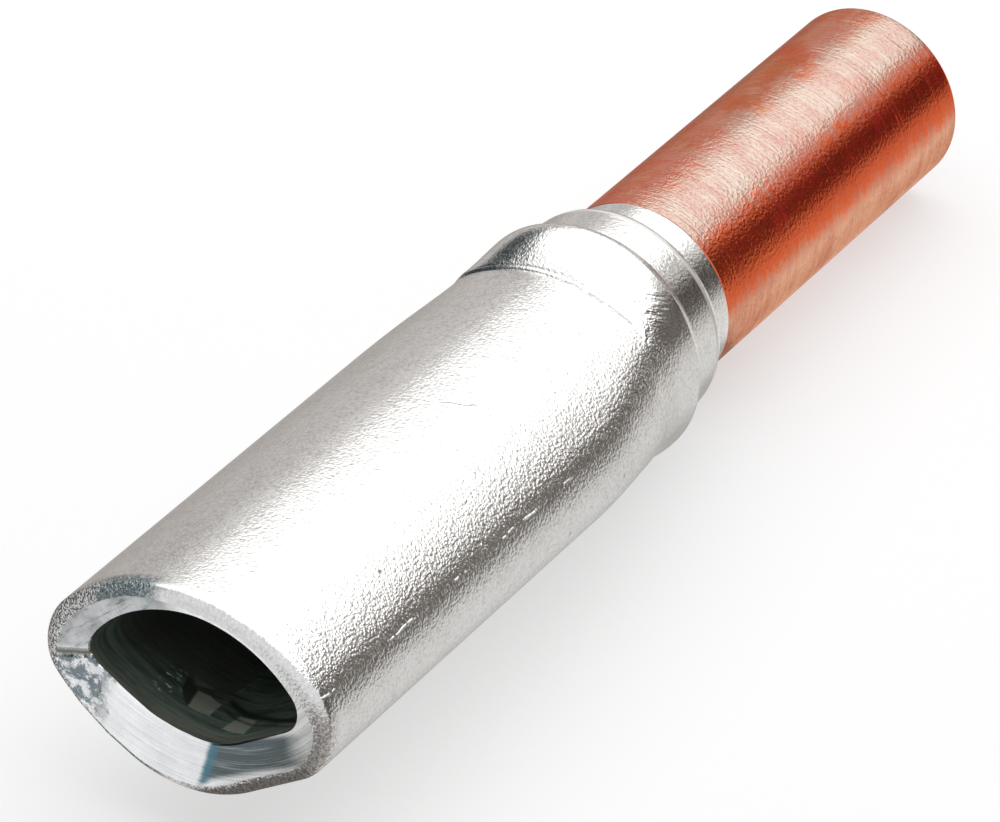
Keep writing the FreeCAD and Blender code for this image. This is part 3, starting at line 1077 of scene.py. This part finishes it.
def grease_skin():
    material, place = new_material("grease_skin")
    x, y, z = axes(place)
    streaks = place.stretched(1700, 130, 130).noise(1.0, 4.0, 0.65)
    broad = place.stretched(420, 90, 90).noise(1.0, 2.0)
    lumps = place.noise(900, 3.0)
    floor = place.wandering(900.0, 0.3 * mm)
    right = 1 - y.between(-1.4 * mm, -0.4 * mm)
    edge = 1 - (x + z * 0.05 + streaks * (1.2 * mm)).between(mouth + 1.0 * mm, mouth + 2.0 * mm)
    # Painted shade: dark bands across the right of the wall, where the bore steps.
    band = past_line(x, y, (-70.2 * mm, -0.85 * mm), -0.40) + broad * (0.5 * mm)
    thin = past_line(x, y, (-71.9 * mm, -2.0 * mm), -0.35) + streaks * (0.6 * mm)
    shade_bands = (band.near(0.2 * mm, 0.65 * mm) + thin.near(0.3 * mm, 0.26 * mm) * 0.7) * right
    left = y - 5 * mm
    # Painted shade: the hole's deep end, past a wandering border, is painted dark.
    bottom = x + 70.0 * mm + left.math("MAXIMUM", left, 0.0) * 0.4 + lumps * (0.8 * mm) - 0.4 * mm
    bottom = bottom - (1 - y.between(-1.1 * mm, -0.2 * mm)) * (5.5 * mm)
    deep = bottom.between(-0.15 * mm, 0.55 * mm)
    glints = place.stretched(2600, 1100, 1100).noise(1.0, 2.0).between(0.60, 0.68)
    glints = glints * place.close_to(glint_middle, 2.6 * mm)
    colour = painted((streaks * 0.8 + broad * 0.2).between(0.33, 0.68).tinted(grease_dark, grease_light), [
        (edge * (streaks.between(0.3, 0.7) * 0.6 + 0.3), thin_olive),
        *[(inside(floor, corners, 0.10 * mm) * 0.85, lit_facet_grey) for corners in lit_facets],
        (shade_bands, band_shade_black),
        (inside(floor, green_lump, 0.25 * mm) * 0.8, lump_green),
        (deep * 0.92, deep_shade_grey),
        (inside(floor, gap_shade_corners, 0.10 * mm), gap_shade_black),
        (glints, glint_pale)])
    bump = (streaks + broad * 0.8 + lumps * 0.4).bump(streak_depth)
    surface(principled(colour, lumps * 0.2 + deep * 0.3 + 0.30, bump, {"Specular IOR Level": 0.3}))
    return material


grease = grease_skin()
print(grease.name, "has", len(grease.node_tree.nodes), "nodes")

# %% [markdown]
# ## The grease's shape
# Most of the grease sits at the bottom, and a film covers the wall. It is made as the barrel is, spun and
# pressed, and then its inner skin is pushed about with noise to make the smears and lumps.

# %% Grease filling
film = 0.4 * mm
film_gap = 0.02 * mm
film_start = mouth + bore_bevel
film_grows = 5.0 * mm
film_thin = 0.06
film_segments = 160
plug_start = -19.5 * mm
plug_dish = 2.0 * mm
smear_sizes = (1.1 * mm, 4.0 * mm, 4.0 * mm)
smear_height = 0.18 * mm
lump_size = 3.2 * mm
lump_height = 1.6 * mm
lumps_start = film_start + 9 * mm
lumps_grow = 8 * mm


def grease_line():
    """The film's and plug's section: out along its inner skin, then back along the wall to the bottom."""
    line = [Vector((plug_start + plug_dish, 0, 0))]
    draw_to(line, plug_start, bore_radius - film, 10, -0.3 * mm)
    draw_to(line, film_start, bore_radius - film, 60)
    draw_to(line, film_start, bore_radius - film_gap)
    draw_to(line, bore_end, bore_radius - film_gap, 60)
    draw_to(line, bore_tip, 0, 4)
    return line


def noise_at(places, sizes):
    """A noise for every point, with grains of those sizes."""
    return np.array([noise.noise(Vector(place)) for place in places / sizes])


def press_film(bm):
    """Moves the film's points to the hole's shape, and smears its inner skin."""
    places = points_of(bm)
    x, y, z = places.T
    radius = np.hypot(y, z)
    direction = np.arctan2(z, y)
    wall = hole_wall(places, x, direction)
    depth = bore_radius - radius
    on_wall = depth < 1.5 * film
    smear = noise_at(places, smear_sizes) * smear_height
    lump = np.clip(noise_at(places, lump_size) - 0.15, 0, 1) * lump_height
    lump = lump * smooth((x - lumps_start) / lumps_grow)
    grown = film_thin + (1 - film_thin) * smooth((x - film_start) / film_grows)
    depth = np.where(depth > 0.1 * mm, (depth + smear + lump) * grown, depth)
    new_radius = np.where(on_wall, wall - depth, wall * radius / bore_radius)
    z = new_radius * np.sin(direction)
    x = x + saw_lean * z * by_mouth(x, lean_length)
    move_to(bm, np.stack([x, new_radius * np.cos(direction), z], 1))


film_mesh = spun(grease_line(), film_segments)
press_film(film_mesh)
finish_piece(film_mesh, "grease_filling", [grease], "jointing_compound")

# %% [markdown]
